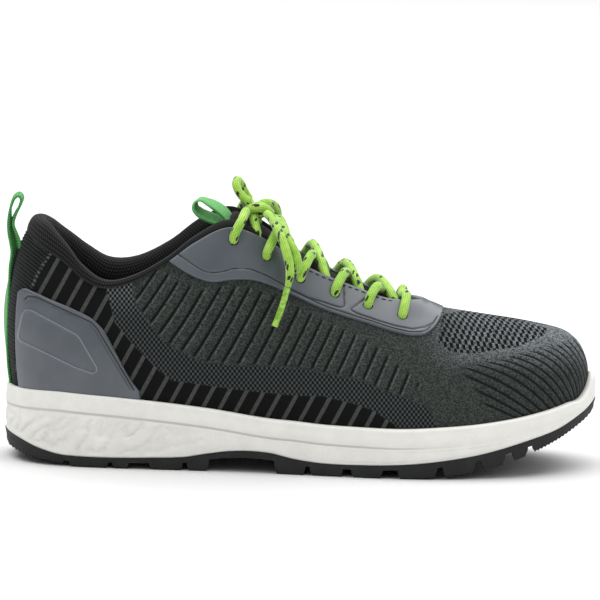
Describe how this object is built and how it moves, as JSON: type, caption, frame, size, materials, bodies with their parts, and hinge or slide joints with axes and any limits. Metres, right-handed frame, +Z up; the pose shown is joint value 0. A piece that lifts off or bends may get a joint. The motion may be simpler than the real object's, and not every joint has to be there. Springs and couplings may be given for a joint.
{
  "type": "safety shoe",
  "caption": "Low-cut lace-up safety trainer for the right foot: knitted upper, moulded eyestay and heel overlays, foam midsole, lugged rubber outsole.",
  "frame": {"origin": "on the floor, under the middle of the sole", "axes": "+X from heel to toe, -Y towards the outer side of the foot, +Z up from the floor"},
  "size_m": [0.2973, 0.1037, 0.1429],
  "materials": {
    "outsole_rubber": "matte",
    "midsole_foam": "matte",
    "insole_cloth": "matte",
    "knit": "matte",
    "tongue_cloth": "matte",
    "collar_cloth": "matte",
    "overlay_plastic": "satin",
    "webbing": "matte",
    "lace_cord": "matte",
    "lace_tip": "gloss"
  },
  "bodies": {
    "root": {"outsole": "outsole_rubber", "midsole": "midsole_foam", "insole": "insole_cloth", "upper": "knit", "tongue": "tongue_cloth", "collar": "collar_cloth", "eyestay": "overlay_plastic", "heel_counter_outer": "overlay_plastic", "heel_counter_inner": "overlay_plastic", "heel_pull_loop": "webbing", "tongue_pull_loop": "webbing", "lace_bar": "lace_cord", "lace_knot": "lace_cord", "lace_loop_up": "lace_cord", "lace_loop_down": "lace_cord", "lace_end_outer": "lace_cord", "lace_end_inner": "lace_cord", "lace_tip_outer": "lace_tip", "lace_tip_inner": "lace_tip", "lace_crossing_1": "lace_cord", "lace_crossing_2": "lace_cord", "lace_crossing_3": "lace_cord", "lace_crossing_4": "lace_cord", "lace_crossing_5": "lace_cord"}
  },
  "joints": []
}
